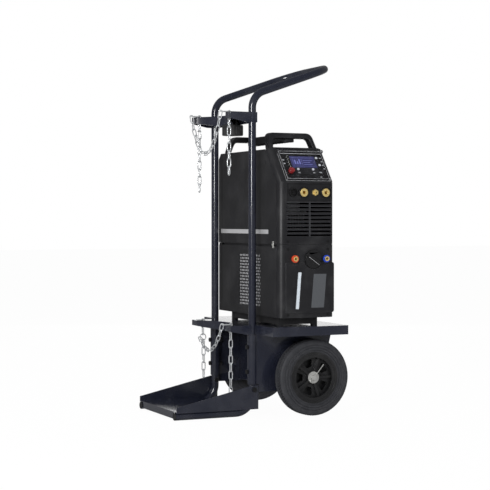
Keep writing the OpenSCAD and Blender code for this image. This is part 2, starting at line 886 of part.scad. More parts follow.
module welder_front() {
    slot_pitch = 15.3;
    slot_h = 7.5;
    grille_y0 = 83;
    grille_y1 = 277;
    rib_y = 182;
    rib_half = 3;
    color("#2b2c2f") in_frame() {
        difference() {
            front_shell();
            slab([case_front - 1, y0 + 12, joint_z + 4], [set_front - 15, y1 - 12, fascia_z - 20]);
            for (i = [0 : 8]) {
                z = 706 + i * slot_pitch;
                slab([case_front, grille_y0, z], [set_front + 1, rib_y - rib_half, z + slot_h]);
                slab([case_front, rib_y + rib_half, z], [set_front + 1, grille_y1, z + slot_h]);
            }
            difference() {
                slab([recess_x, grille_y0, 840], [set_front + 1, grille_y1, 911]);
                for (y = socket_y)
                    translate([0, y, socket_z]) rod_x(recess_x - 1, recess_x + 6, 20);
            }
            for (y = socket_y)
                translate([0, y, socket_z]) rod_x(case_front - 1, set_front, 12.6);
            translate([0, gas_y, socket_z]) rod_x(case_front - 1, set_front, 7);
            translate([0, control_y, socket_z]) rod_x(case_front - 1, set_front, 19.1);
            on_fascia() slab([-4, fascia_y0, 4], [1, fascia_y1, fascia_len - 3]);
            on_fascia() slab([-30, y0 + 36, 20], [1, y1 - 16, 150]);
        }
        cover_ears();
    }
}

module weld_sockets() {
    color("#c8a04e") in_frame() for (y = socket_y)
        translate([0, y, socket_z]) difference() {
            union() {
                rod_x(case_front - 30, set_front, 12.5);
                rod_x(case_front - 30, case_front - 4, 17);
            }
            rod_x(case_front - 10, set_front + 1, 6.6);
        }
}

module gas_outlet() {
    color("#b98a55") in_frame() translate([0, gas_y, socket_z]) difference() {
        union() {
            rod_x(case_front - 20, set_front + 6, 6.8);
            rotate([0, 90, 0]) translate([0, 0, recess_x + 0.1]) cylinder(r = 12.5, h = 8, $fn = 6);
            rod_x(recess_x + 8, set_front + 3, 9.5);
        }
        rod_x(case_front - 21, set_front + 7, 3);
    }
}

module control_socket() {
    pin_pitch = 8;
    color("#0e0f11") in_frame() translate([0, control_y, socket_z]) {
        difference() {
            rod_x(case_front - 14, set_front - 1, 19);
            rod_x(set_front - 12, set_front, 15);
        }
        for (a = [0 : 60 : 300])
            rotate([a, 0, 0]) translate([0, pin_pitch, 0]) rod_x(set_front - 13, set_front - 5, 1.2);
        rod_x(set_front - 13, set_front - 5, 1.2);
    }
}

module fascia() {
    color("#1d1e20") in_frame() on_fascia() difference() {
        slab([-3.8, fascia_y0 + 0.3, 4.3], [-0.8, fascia_y1 - 0.3, fascia_len - 3.3]);
        for (seat = button_seats)
            translate([0, seat[0], seat[1]]) rod_x(-5, 1, button_r + 0.3);
        translate([0, knob_seat[0], knob_seat[1]]) rod_x(-5, 1, 3.3);
        slab([-2, lcd_low[0], lcd_low[1]], [0, lcd_high[0], lcd_high[1]]);
        slab([-5, lcd_low[0] + 6, lcd_low[1] + 6], [0, lcd_high[0] - 6, lcd_high[1] - 6]);
        translate([0, cover_y1 + gap, cover_hinge])
            slab([-5, -0.3, -5.3], [1, ear_t + 0.3, 6.3]);
    }
}

module display() {
    color("#4c5fc0") in_frame() on_fascia() {
        slab([-1.9, lcd_low[0] + 0.3, lcd_low[1] + 0.3], [-0.7, lcd_high[0] - 0.3, lcd_high[1] - 0.3]);
        slab([-12, lcd_low[0] + 6.3, lcd_low[1] + 6.3], [-1.8, lcd_high[0] - 6.3, lcd_high[1] - 6.3]);
    }
}

module encoder_knob() {
    color("#b23030") in_frame() on_fascia() translate([0, knob_seat[0], knob_seat[1]]) {
        rod_x(-14, 1, 3);
        rod_x(0, 11, knob_r);
    }
}

module push_button(seat) {
    color("#d8dbe0") in_frame() on_fascia() translate([0, seat[0], seat[1]]) {
        rod_x(-3.6, 1.2, button_r);
        rod_x(-7, -4, button_r + 1.5);
        rod_x(-5, -3, button_r);
    }
}

module menu_button() {
    push_button(button_seats[0]);
}

module mode_button() {
    push_button(button_seats[1]);
}

module store_button() {
    push_button(button_seats[2]);
}

module test_button() {
    push_button(button_seats[3]);
}

module clear_cover() {
    t = 2;
    color("#aeb6c4", 0.35) in_frame() on_fascia() difference() {
        union() {
            difference() {
                slab([0.4, cover_y0, 5], [cover_lift, cover_y1, cover_hinge]);
                slab([-1, cover_y0 + t, 5 + t], [cover_lift - t, cover_y1 - t, cover_hinge + 1]);
            }
            translate([cover_pin_x, 0, cover_hinge + 1]) rod_y(cover_y0, cover_y1, 3.5);
        }
        translate([cover_pin_x, 0, cover_hinge + 1]) {
            rod_y(cover_y0 - 1, cover_y0 + 13, 1.5 + run_fit);
            rod_y(cover_y1 - 13, cover_y1 + 1, 1.5 + run_fit);
        }
    }
}

// ---- carrying handles ----

// an arch seen along X, standing on Z = 0
module loop_outline() {
    leg = 17;
    bar = 23;
    difference() {
        polygon(rounded([[-113, -40], [113, -40], [94, loop_h], [-94, loop_h]], 24));
        polygon(rounded([[leg - 117, -60], [117 - leg, -60],
            [96 - leg, loop_h - bar], [leg - 96, loop_h - bar]], 15));
    }
}

// the arch cut to a leaning side view, given as its foot and top edges along X
module leaning_loop(foot, top) {
    translate([0, set_y, set_top + 0.1]) intersection() {
        translate([-260, 0, 0]) rotate([90, 0, 90]) linear_extrude(520) loop_outline();
        translate([0, 200, 0]) rotate([90, 0, 0]) linear_extrude(400)
            polygon([[foot[0], 0], [foot[1], 0], [top[1], 80], [top[0], 80]]);
    }
}

module front_loop() {
    difference() {
        leaning_loop([166, 209], [124, 167]);
        on_fascia() slab([-front_depth - 1, y0, 0], [10, y1, fascia_len + 0.2]);
    }
}

module rear_loop() {
    leaning_loop([-237, -203], [-204, -161]);
}

module front_handle() {
    color("#2a2b2e") in_frame() front_loop();
}

module rear_handle() {
    color("#2a2b2e") in_frame() rear_loop();
}

module centre_grip() {
    color("#26272a") in_frame() difference() {
        slab([-185, set_y - grip_half, 1077], [170, set_y + grip_half, 1111]);
        for (x = [-125 : 26 : 140])
            translate([x, 0, 1067]) rod_y(set_y - grip_half - 1, set_y + grip_half + 1, 14);
        front_loop();
        rear_loop();
    }
}

// ---- rear and inside of the power source ----

module rear_cover() {
    color("#2b2c2f") in_frame() difference() {
        translate([0, y1, 0]) rotate([90, 0, 0]) linear_extrude(set_w)
            polygon([[set_rear, joint_z + 0.5], [case_rear - 0.3, joint_z + 0.5], [case_rear - 0.3, set_top],
                [set_rear + 22, set_top], [set_rear, set_top - 24]]);
        translate([0, y1 - 4, 0]) rotate([90, 0, 0]) linear_extrude(set_w - 8)
            polygon([[set_rear + 4, joint_z + 4], [case_rear, joint_z + 4], [case_rear, set_top - 5],
                [set_rear + 21, set_top - 5], [set_rear + 4, set_top - 24]]);
        for (i = [0 : 9])
            slab([set_rear - 1, set_y - 80, 700 + i * 17], [set_rear + 5, set_y + 80, 709 + i * 17]);
        translate([0, 110, 960]) rod_x(set_rear - 1, set_rear + 5, 8.2);
    }
}

module mains_switch() {
    color("#121315") in_frame() translate([0, 110, 960]) {
        rod_x(set_rear - 8, set_rear - 0.4, 22);
        rod_x(set_rear - 1, set_rear + 12, 8);
        slab([set_rear - 20, -5, -21], [set_rear - 7, 5, 21]);
    }
}

module power_module() {
    color("#9a9da1") in_frame() {
        slab([-120, 100, 790], [190, 236, 802]);
        for (y = [102 : 12 : 232])
            slab([-120, y, 720], [190, y + 3, 791]);
        for (x = [-90, 0, 90])
            slab([x, 115, 801], [x + 60, 225, 850]);
        for (x = [-118, 180], y = [102, 230])
            slab([x, y, joint_z + 1.2], [x + 8, y + 4, 721]);
    }
}

module welder_fan() {
    color("#1a1b1d") in_frame() translate([-230, set_y, 785]) rotate([0, 90, 0]) fan_blades(78, 22, 22, 7);
}

module bezel_screws() {
    color("#0b0b0c") in_frame() for (y = [88, 260], z = [401, 655, 685])
        translate([0, y, z]) difference() {
            rod_x(set_front + 0.02, set_front + 2.2, 4.8);
            rotate([0, 90, 0]) translate([0, 0, set_front + 1]) cylinder(r = 1.9, h = 2, $fn = 6);
        }
}

left_upright();
right_upright();
handle_bow();
tube_end_caps();
upper_cradle();
tray();
toe_plate();
left_side_panel();
right_side_panel();
cross_panel();
frame_bolts();
axle();
left_tyre();
right_tyre();
left_rim();
right_rim();
axle_washers();
split_pins();
torch_holder();
chain_anchors();
upper_chain_swag();
upper_chain_left_tail();
upper_chain_right_tail();
lower_chain_swag();
lower_chain_left_tail();
lower_chain_right_tail();
cooler_case();
cooler_chassis();
cooler_front();
level_window();
filler_cap();
hose_couplings();
red_collar();
blue_collar();
coolant_tank();
coolant_pump();
radiator();
cooler_fan();
welder_case();
welder_chassis();
welder_front();
weld_sockets();
gas_outlet();
control_socket();
fascia();
display();
encoder_knob();
menu_button();
mode_button();
store_button();
test_button();
clear_cover();
front_handle();
rear_handle();
centre_grip();
rear_cover();
power_module();
welder_fan();
mains_switch();
bezel_screws();
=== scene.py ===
import json
from math import cos, pi, radians, sin

import bmesh
import bpy
import numpy as np
from mathutils import Matrix, Vector


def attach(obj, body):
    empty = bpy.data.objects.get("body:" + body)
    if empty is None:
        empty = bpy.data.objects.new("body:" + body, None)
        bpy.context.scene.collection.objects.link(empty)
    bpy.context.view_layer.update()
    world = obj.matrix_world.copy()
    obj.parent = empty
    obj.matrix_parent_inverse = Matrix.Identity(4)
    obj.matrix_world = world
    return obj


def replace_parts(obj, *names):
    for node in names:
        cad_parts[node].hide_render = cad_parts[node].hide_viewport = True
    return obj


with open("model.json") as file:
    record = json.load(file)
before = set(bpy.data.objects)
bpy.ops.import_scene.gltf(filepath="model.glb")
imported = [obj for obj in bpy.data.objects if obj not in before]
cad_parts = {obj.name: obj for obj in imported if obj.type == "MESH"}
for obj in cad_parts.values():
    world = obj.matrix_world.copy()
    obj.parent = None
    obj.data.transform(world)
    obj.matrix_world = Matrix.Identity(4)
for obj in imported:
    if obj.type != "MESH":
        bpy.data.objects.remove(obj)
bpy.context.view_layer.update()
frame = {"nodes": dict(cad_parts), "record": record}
nodes = frame["nodes"]
bodyOf = {n: body for body, members in frame["record"]["behaviour"]["bodies"].items() for n in members}
slotOf = {part["node"]: part["material_slot"] for part in frame["record"]["subparts"]}
scene = bpy.context.scene
frameShift = 23.5  # the trolley's own zero stands this far behind the frame's, in mm


def at(x, y, z):
    return Vector((x, y - frameShift, z)) / 1000


# camera, floor and light
print("camera, floor and light")

camera = {"place": (5.1763, -2.3198, 0.7693), "yaw": 24.41, "pitch": 1.03, "lens": 103.08, "sensor": 36.0}
studio = {
    "floor": 0.9, "floorGlow": 0.97, "floorMirrored": 0.8, "dimFloor": 0.1, "floorHalf": 30,
    "world": 0.5, "seen": 1.0, "mirrored": 0.14,
    "lamps": [
        # place, aims at, width, height, watts, shows in glossy paint
        ((1.2, -4.2, 2.6), (0, 0, 0.7), 1.6, 2.4, 32, False),
        ((4.6, 1.8, 2.4), (0, 0, 0.8), 1.4, 2.2, 50, False),
        ((-1.5, 0.5, 4.2), (0, 0, 0.8), 2.6, 2.6, 60, False),
        ((2.9, -2.94, 1.75), (0.18, 0, 1.75), 0.5, 1.6, 95, True),
        ((-4.2, 1.9, 0.62), (0, 0, 0.4), 3.0, 1.1, 10, True),
    ],
}


def makeCamera():
    data = bpy.data.cameras.new("camera")
    data.lens = camera["lens"]
    data.sensor_width = camera["sensor"]
    data.clip_end = 80
    eye = bpy.data.objects.new("camera", data)
    scene.collection.objects.link(eye)
    yaw, pitch = radians(camera["yaw"]), radians(camera["pitch"])
    ahead = Vector((-cos(yaw) * cos(pitch), sin(yaw) * cos(pitch), -sin(pitch)))
    eye.location = camera["place"]
    eye.rotation_euler = ahead.to_track_quat("-Z", "Y").to_euler()
    scene.camera = eye


class Link:
    # one value inside a finish; plain sums on it add Math nodes
    def __init__(self, finish, socket):
        self.finish, self.socket = finish, socket

    def __add__(self, other):
        return self.finish.sum("ADD", self, other)

    def __sub__(self, other):
        return self.finish.sum("SUBTRACT", self, other)

    def __rsub__(self, other):
        return self.finish.sum("SUBTRACT", other, self)

    def __mul__(self, other):
        return self.finish.sum("MULTIPLY", self, other)

    __radd__, __rmul__ = __add__, __mul__

    def clamped(self):
        return self.finish.node("ShaderNodeClamp", sockets={0: self, 1: 0.0, 2: 1.0})


class Finish:
    def __init__(self, name, **constants):
        self.mat = bpy.data.materials.new(name)
        self.mat.use_nodes = True
        self.tree = self.mat.node_tree
        self.tree.nodes.clear()
        self.shader = self.tree.nodes.new("ShaderNodeBsdfPrincipled")
        self.output = self.tree.nodes.new("ShaderNodeOutputMaterial")
        self.tree.links.new(self.shader.outputs[0], self.output.inputs[0])
        for key, value in constants.items():
            self.set(key, value)

    def set(self, key, value):
        names = {"colour": "Base Color", "rough": "Roughness", "metal": "Metallic", "coat": "Coat Weight",
                 "coatRough": "Coat Roughness", "alpha": "Alpha", "specular": "Specular IOR Level",
                 "glow": "Emission Color", "glowPower": "Emission Strength", "normal": "Normal"}
        if key == "colour" and not isinstance(value, Link) and len(value) == 3:
            value = (*value, 1)
        self.plug(self.shader.inputs[names[key]], value)

    def plug(self, socket, value):
        if isinstance(value, Link):
            self.tree.links.new(value.socket, socket)
        else:
            socket.default_value = value

    def node(self, kind, settings=None, sockets=None, out=0):
        made = self.tree.nodes.new(kind)
        for key, value in (settings or {}).items():
            setattr(made, key, value)
        for key, value in (sockets or {}).items():
            self.plug(made.inputs[key], value)
        return Link(self, made.outputs[out])

    def sum(self, kind, a, b):
        return self.node("ShaderNodeMath", {"operation": kind}, {0: a, 1: b})

    def where(self, stretch):
        place = self.node("ShaderNodeTexCoord", out=3)
        return self.node("ShaderNodeVectorMath", {"operation": "MULTIPLY"}, {0: place, 1: stretch})

    def noise(self, size, detail=3.0, stretch=(1, 1, 1), contrast=None):
        # size is the width of a blot in metres
        sockets = {"Vector": self.where(stretch), "Scale": 1 / size, "Detail": detail}
        value = self.node("ShaderNodeTexNoise", sockets=sockets)
        return self.ramp(value, *contrast) if contrast else value

    def ramp(self, value, low, high):
        return self.node("ShaderNodeMapRange", {"interpolation_type": "SMOOTHSTEP"},
                         {0: value, 1: low, 2: high, 3: 0.0, 4: 1.0})

    def mix(self, mask, a, b):
        colours = [c if isinstance(c, Link) else (*c, 1) for c in (a, b)]
        sockets = {0: mask, 6: colours[0], 7: colours[1]}
        return self.node("ShaderNodeMix", {"data_type": "RGBA"}, sockets, out=2)

    def bump(self, height, depth):
        sockets = {"Strength": 1.0, "Distance": depth, "Height": height}
        self.set("normal", self.node("ShaderNodeBump", sockets=sockets))

    def edges(self, radius=0.0012, gain=6.0):
        # bright where the surface turns a corner
        soft = self.node("ShaderNodeBevel", {"samples": 4}, {"Radius": radius})
        true = self.node("ShaderNodeNewGeometry", out=1)
        level = self.node("ShaderNodeVectorMath", {"operation": "DOT_PRODUCT"}, {0: soft, 1: true}, out=1)
        return ((1 - level) * gain).clamped()


def makeStudio():
    world = bpy.data.worlds.new("studio")
    world.use_nodes = True
    scene.world = world
    tree = world.node_tree
    tree.nodes.clear()
    back = tree.nodes.new("ShaderNodeBackground")
    path = tree.nodes.new("ShaderNodeLightPath")
    out = tree.nodes.new("ShaderNodeOutputWorld")
    steps = [studio["world"], studio["mirrored"], studio["seen"]]
    level = None
    for ray, (a, b) in zip(("Is Glossy Ray", "Is Camera Ray"), zip(steps, steps[1:])):
        mix = tree.nodes.new("ShaderNodeMix")
        tree.links.new(path.outputs[ray], mix.inputs[0])
        if level:
            tree.links.new(level, mix.inputs[2])
        else:
            mix.inputs[2].default_value = a
        mix.inputs[3].default_value = b
        level = mix.outputs[0]
    back.inputs[0].default_value = (1, 1, 1, 1)
    tree.links.new(level, back.inputs[1])
    tree.links.new(back.outputs[0], out.inputs[0])

    paint = Finish("floor_white", colour=(studio["floor"],) * 3, rough=0.6, specular=0.2)
    # the camera sees the floor glow white, glossy paint sees it dim
    glow = paint.node("ShaderNodeEmission", sockets={0: (1, 1, 1, 1), 1: 1.0})
    seen = paint.node("ShaderNodeLightPath") * studio["floorGlow"]
    dim = paint.node("ShaderNodeEmission", sockets={0: (*[studio["dimFloor"]] * 3, 1), 1: 1.0})
    mirrored = paint.node("ShaderNodeLightPath", out=3) * studio["floorMirrored"]
    plain = Link(paint, paint.shader.outputs[0])
    both = paint.node("ShaderNodeMixShader", sockets={0: seen, 1: plain, 2: glow})
    both = paint.node("ShaderNodeMixShader", sockets={0: mirrored, 1: both, 2: dim})
    paint.plug(paint.output.inputs[0], both)
    mesh = bpy.data.meshes.new("floor")
    half = studio["floorHalf"]
    corners = [(-half, -half, 0), (half, -half, 0), (half, half, 0), (-half, half, 0)]
    mesh.from_pydata(corners, [], [(0, 1, 2, 3)])
    floor = bpy.data.objects.new("floor", mesh)
    scene.collection.objects.link(floor)
    mesh.materials.append(paint.mat)

    for number, (place, aim, width, height, watts, shows) in enumerate(studio["lamps"]):
        data = bpy.data.lights.new(f"softbox{number}", "AREA")
        data.shape, data.size, data.size_y, data.energy = "RECTANGLE", width, height, watts
        lamp = bpy.data.objects.new(f"softbox{number}", data)
        scene.collection.objects.link(lamp)
        lamp.location = place
        lamp.visible_glossy = shows
        lamp.rotation_euler = (Vector(aim) - Vector(place)).to_track_quat("-Z", "Y").to_euler()
    scene.view_settings.view_transform = "Standard"


makeCamera()
makeStudio()

# finishes
print("finishes")


rubbedPaint, paintDust, plasticDust = (0.16, 0.17, 0.2), (0.3, 0.3, 0.31), (0.34, 0.34, 0.34)


def coat(name, shade, rough, peel=0.00004, worn=0.35, dust=0.05, clear=0.0):
    # powder coat: fine orange peel, faint dust, a paler line where edges have rubbed
    f = Finish(name, coat=clear, coatRough=0.08, specular=0.5)
    scuff = f.noise(0.03, 4, contrast=(0.48, 0.72))
    rubbed = f.edges() * scuff * worn
    grey = f.noise(0.12, 3, contrast=(0.4, 0.75)) * dust
    f.set("colour", f.mix(rubbed, f.mix(grey, shade, paintDust), rubbedPaint))
    f.set("rough", (f.noise(0.05, 4) * 0.12 + (rough - 0.06) + rubbed * 0.2).clamped())
    f.bump(f.noise(0.0016, 2), peel)
    return f.mat


def moulded(name, shade, rough, worn=0.25, rub=0.0015):
    # moulded plastic: fine spark texture, slightly shinier on touched edges
    f = Finish(name, specular=0.45)
    edge = f.edges(rub) * f.noise(0.02, 3, contrast=(0.2, 0.7)) * worn
    grey = f.noise(0.09, 4, contrast=(0.45, 0.8)) * 0.06
    touched = [min(c * 2.2 + 0.03, 1) for c in shade]
    f.set("colour", f.mix(edge, f.mix(grey, shade, plasticDust), touched))
    f.set("rough", (f.noise(0.03, 4) * 0.16 + (rough - 0.08) - edge * 0.15).clamped())
    f.bump(f.noise(0.0011, 2), 0.00006)
    return f.mat


def metal(name, shade, rough, tone=0.12, brushed=(1, 1, 1)):
    # bare or plated metal: streaks in roughness, darker and duller blots here and there
    f = Finish(name, metal=0.62, specular=0.7)
    streak = f.noise(0.002, 4, stretch=brushed)
    blot = f.noise(0.015, 4, contrast=(0.35, 0.75))
    f.set("colour", f.mix(blot * tone, shade, [c * 0.5 for c in shade]))
    f.set("rough", (streak * 0.2 + blot * 0.1 + (rough - 0.12)).clamped())
    f.bump(streak, 0.00002)
    return f.mat


def rubber(name):
    f = Finish(name, specular=0.35)
    dust = f.noise(0.02, 5, contrast=(0.35, 0.8))
    fine = f.noise(0.002, 3)
    f.set("colour", f.mix(dust * 0.22, (0.03, 0.031, 0.036), (0.085, 0.085, 0.09)))
    f.set("rough", (0.5 + fine * 0.25).clamped())
    f.bump(fine, 0.00015)
    return f.mat


def gloss(name, shade, rough=0.25):
    f = Finish(name, specular=0.5, coat=0.3, coatRough=0.12)
    mark = f.noise(0.006, 4, contrast=(0.5, 0.8))
    f.set("colour", f.mix(mark * 0.15, shade, [c * 0.6 for c in shade]))
    f.set("rough", (rough - 0.06 + f.noise(0.004, 3) * 0.14).clamped())
    f.bump(f.noise(0.0015, 2), 0.00002)
    return f.mat


def clearPlastic(name, shade, alpha, rough=0.08):
    f = Finish(name, specular=0.6)
    haze = f.noise(0.02, 4, contrast=(0.4, 0.8))
    # rim: the edges are painted pale and made less clear, a painted highlight along the rims of the clear
    # parts
    rim = f.edges(0.0016, 4.0)
    f.set("colour", f.mix((haze * 0.2 + rim * 0.8).clamped(), shade, (0.9, 0.9, 0.92)))
    f.set("rough", rough + haze * 0.08)
    f.set("alpha", (haze * 0.015 + rim * 0.8 + alpha).clamped())
    f.bump(f.noise(0.03, 2), 0.00005)
    return f.mat


def displayGlass(name):
    f = Finish(name, specular=0.6, glowPower=0.2)
    rows = f.noise(0.0012, 1)
    glow = f.noise(0.03, 2)
    shade = f.mix(glow, (0.016, 0.018, 0.06), (0.045, 0.045, 0.13))
    f.set("colour", shade)
    f.set("glow", shade)
    f.set("rough", 0.12 + rows * 0.08)
    return f.mat


finishes = {
    "frame_paint": coat("frame_powder_coat", (0.012, 0.014, 0.025), 0.2, clear=0.6),
    "end_cap": moulded("end_cap_plastic", (0.012, 0.012, 0.013), 0.5),
    "bolt_black": gloss("blackened_bolt", (0.005, 0.005, 0.006), 0.5),
    "axle_steel": metal("plain_steel", (0.62, 0.62, 0.6), 0.32, brushed=(0.2, 1, 1)),
    "tyre": rubber("tyre_rubber"),
    "rim": moulded("rim_plastic", (0.013, 0.013, 0.014), 0.34),
    "holder_plastic": moulded("holder_plastic", (0.02, 0.02, 0.021), 0.5),
    "chain": metal("bright_zinc", (0.86, 0.88, 0.9), 0.22, tone=0.4),
    "case_paint": coat("charcoal_textured_paint", (0.016, 0.016, 0.018), 0.52, peel=0.00012, worn=0.2,
                       dust=0.04),
    "case_plastic": moulded("charcoal_plastic", (0.012, 0.012, 0.014), 0.4, worn=0.9, rub=0.003),
    "clear": clearPlastic("clear_cover_plastic", (0.5, 0.53, 0.6), 0.0),
    "milky_plastic": clearPlastic("milky_plastic", (0.62, 0.68, 0.74), 0.9, 0.25),
    "black_gloss": gloss("black_gloss_plastic", (0.01, 0.01, 0.011), 0.3),
    "brass": metal("turned_brass", (0.95, 0.72, 0.28), 0.22, brushed=(3, 1, 1)),
    "red_collar": gloss("red_plastic", (0.55, 0.06, 0.02)),
    "blue_collar": gloss("blue_plastic", (0.02, 0.06, 0.42)),
    "pump_metal": metal("pump_casting", (0.25, 0.26, 0.27), 0.55),
    "fin_metal": metal("fin_aluminium", (0.6, 0.61, 0.62), 0.35),
    "fan_plastic": moulded("fan_plastic", (0.012, 0.012, 0.013), 0.45),
    "display": displayGlass("display_glass"),
    "button_plastic": gloss("button_plastic", (0.5, 0.52, 0.58), 0.35),
}

finishOf = {name: finishes[slot] for name, slot in slotOf.items()}
finishOf["encoder_knob"] = gloss("knob_red", (0.2, 0.012, 0.014), 0.3)
for name, obj in nodes.items():
    obj.data.materials.clear()
    obj.data.materials.append(finishOf[name])


# shaping helpers


def newPiece(name, mesh, node, slot=None, finish=None):
    obj = bpy.data.objects.new(name, mesh)
    scene.collection.objects.link(obj)
    slot = slot or slotOf[node]
    mesh.materials.clear()
    mesh.materials.append(finish or (finishOf[node] if slot == slotOf[node] else finishes[slot]))
    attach(obj, bodyOf[node])
    return obj


def smoothByAngle(bm, limit):
    for face in bm.faces:
        face.smooth = True
    for edge in bm.edges:
        edge.smooth = len(edge.link_faces) == 2 and edge.calc_face_angle(0) < radians(limit)


weldDistance = 2e-6  # points nearer than this, in metres, are one point
sharpAngle = 32  # edges that turn more than this are eased


def weldedCopy(node):
    bm = bmesh.new()
    bm.from_mesh(nodes[node].data)
    bmesh.ops.remove_doubles(bm, verts=bm.verts, dist=weldDistance)
    return bm


def soften(node, width):
    # the node with its flat faces made whole again and its edges eased by width mm
    bm = weldedCopy(node)
    bmesh.ops.dissolve_limit(bm, angle_limit=radians(0.6), verts=bm.verts, edges=bm.edges)
    smoothByAngle(bm, sharpAngle)
    mesh = bpy.data.meshes.new(node + "_eased")
    bm.to_mesh(mesh)
    bm.free()
    obj = newPiece(node + "_eased", mesh, node)
    if width:
        ease = obj.modifiers.new("ease", "BEVEL")
        ease.width = width / 1000
        ease.segments = 4 if width > 2 else 2
        ease.limit_method = "ANGLE"
        ease.angle_limit = radians(sharpAngle)
        ease.use_clamp_overlap = False
        ease.harden_normals = True
        ease.miter_outer = "MITER_ARC"
    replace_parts(obj, node)


print("eased edges")
eased = {
    "left_upright": 0, "right_upright": 0, "handle_bow": 0, "tube_end_caps": 1.2, "upper_cradle": 0,
    "tray": 0, "toe_plate": 0.7, "left_side_panel": 0.6, "right_side_panel": 0.6, "cross_panel": 0.6,
    "left_rim": 0.7, "right_rim": 0.7, "axle": 0.8, "axle_washers": 0.4,
    "cooler_case": 0.7, "cooler_front": 0.9, "welder_case": 0.7, "welder_front": 0.7,
    "front_handle": 6, "rear_handle": 6, "centre_grip": 3, "rear_cover": 0.8,
    "filler_cap": 1.0, "encoder_knob": 0.8, "mains_switch": 1.0, "torch_holder": 0.4,
    "weld_sockets": 0.6, "hose_couplings": 0.4, "red_collar": 0.5, "blue_collar": 0.5,
}
for node, width in eased.items():
    soften(node, width)


print("chains")
chainLink = {
    # sizes in mm; a shorter solid than "shortest" is the round ring
    "wire": 2.0, "bend": 7.0, "straight": 21.6, "shortest": 34, "round": 10, "turns": 8, "ringTurns": 28,
}
chainNodes = ["chain_anchors", "upper_chain_swag", "upper_chain_left_tail", "upper_chain_right_tail",
              "lower_chain_swag", "lower_chain_left_tail", "lower_chain_right_tail"]


def islands(bm):
    # the separate solids of a mesh, as lists of points
    # a dict keeps the points in their own order, so that each run gives the same links
    left, found = dict.fromkeys(bm.verts), []
    while left:
        group, edge = [], [left.popitem()[0]]
        while edge:
            vert = edge.pop()
            group.append(vert.co.copy())
            for link in vert.link_edges:
                other = link.other_vert(vert)
                if other in left:
                    del left[other]
                    edge.append(other)
        found.append(group)
    return found


def axesOf(points):
    # middle of a link, its long, wide and flat directions, its length and its corners
    low, high = (Vector(f(p[k] for p in points) for k in range(3)) for f in (min, max))
    cloud = np.array(points)
    middle = cloud.mean(axis=0)
    spread = np.linalg.eigh(np.cov((cloud - middle).T))[1]
    wide, long = Vector(spread[:, 1]), Vector(spread[:, 2])
    length = float(np.ptp(cloud @ spread[:, 2]))
    return Vector(middle), long, wide, long.cross(wide), length, low, high


def circle(count):
    return [2 * pi * k / count for k in range(count)]


def joinRings(bm, ring, after):
    # a band of faces between two rings of as many points
    count = len(ring)
    return [bm.faces.new((ring[k], ring[(k + 1) % count], after[(k + 1) % count], after[k]))
            for k in range(count)]


def sweepRing(bm, path, wire, flat):
    # a closed loop of wire along path, which lies square to flat
    rings, total = [], len(path)
    for i, point in enumerate(path):
        ahead = (path[(i + 1) % total] - path[i - 1]).normalized()
        side = ahead.cross(flat)
        rings.append([bm.verts.new(point + wire * (cos(t) * side + sin(t) * flat))
                      for t in circle(chainLink["round"])])
    for i, ring in enumerate(rings):
        for face in joinRings(bm, ring, rings[(i + 1) % total]):
            face.smooth = True


def linkPath(middle, long, wide):
    bend, straight, turns = chainLink["bend"] / 1000, chainLink["straight"] / 2000, chainLink["turns"]
    path = []
    for end in (1, -1):
        for k in range(turns + 1):
            t = pi * k / turns
            path.append(middle + end * (wide * bend * cos(t) + long * (straight + bend * sin(t))))
    return path


def makeChain(node):
    source, bm = weldedCopy(node), bmesh.new()
    wire = chainLink["wire"] / 1000
    for points in islands(source):
        middle, long, wide, flat, length, low, high = axesOf(points)
        if length < chainLink["shortest"] / 1000:
            middle, radius = (low + high) / 2, (high.z - low.z) / 2 - wire
            path = [middle + radius * Vector((0, cos(t), sin(t))) for t in circle(chainLink["ringTurns"])]
            sweepRing(bm, path, wire, Vector((1, 0, 0)))
        else:
            sweepRing(bm, linkPath(middle, long, wide), wire, flat)
    source.free()
    bmesh.ops.recalc_face_normals(bm, faces=bm.faces)
    mesh = bpy.data.meshes.new(node + "_links")
    bm.to_mesh(mesh)
    bm.free()
    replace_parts(newPiece(node + "_links", mesh, node), node)


for node in chainNodes:
    makeChain(node)

print("tyres")
tyre = {
    "middle": 262, "axleY": 222, "axleZ": 150, "ribs": 84, "groove": 3.6, "tread": 23.5, "crown": 149.9,
    # points across the tread and along each rib, how far the ribs lean and how much of each is groove
    "across": 20, "along": 6, "lean": 0.055, "open": 0.34, "ringAt": 11.7, "ringHalf": 1.3,
    "shoulder": 0.7, "camber": 0.0012,
    # the flank from bead to shoulder: distance from the wheel's middle plane, and radius
    "profile": [(-25, 101.1), (-25, 108.6), (-30, 109.4), (-30, 116.2), (-27.8, 118), (-30, 119.8),
                (-30, 126.2), (-28.2, 128), (-30, 129.8), (-30, 136), (-28.9, 141.4), (-26.2, 146),
                (-24.2, 148.2)],
}


def makeTyre(node, side):
    bm, rings = bmesh.new(), []
    flank, half, along = tyre["profile"], tyre["tread"], tyre["along"]
    across = [-half + 2 * half * k / tyre["across"] for k in range(tyre["across"] + 1)]
    steps = tyre["ribs"] * along
    for i in range(steps):
        t = 2 * pi * i / steps
        points = list(flank)
        for x in across:
            lead = (i / along + abs(x) * tyre["lean"]) % 1
            inRing = abs(abs(x) - tyre["ringAt"]) < tyre["ringHalf"]
            cut = tyre["groove"] if lead < tyre["open"] or inRing else 0
            if abs(x) > half - 0.1:
                cut = tyre["shoulder"]
            points.append((x, tyre["crown"] - cut - tyre["camber"] * x * x))
        points += [(-x, r) for x, r in reversed(flank)]
        rings.append([bm.verts.new(at(side * (tyre["middle"] + x), tyre["axleY"] + r * cos(t),
                                      tyre["axleZ"] + r * sin(t))) for x, r in points])
    for i, ring in enumerate(rings):
        joinRings(bm, ring, rings[(i + 1) % steps])
    bmesh.ops.recalc_face_normals(bm, faces=bm.faces)
    smoothByAngle(bm, 28)
    mesh = bpy.data.meshes.new(node + "_tread")
    bm.to_mesh(mesh)
    bm.free()
    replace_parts(newPiece(node + "_tread", mesh, node), node)


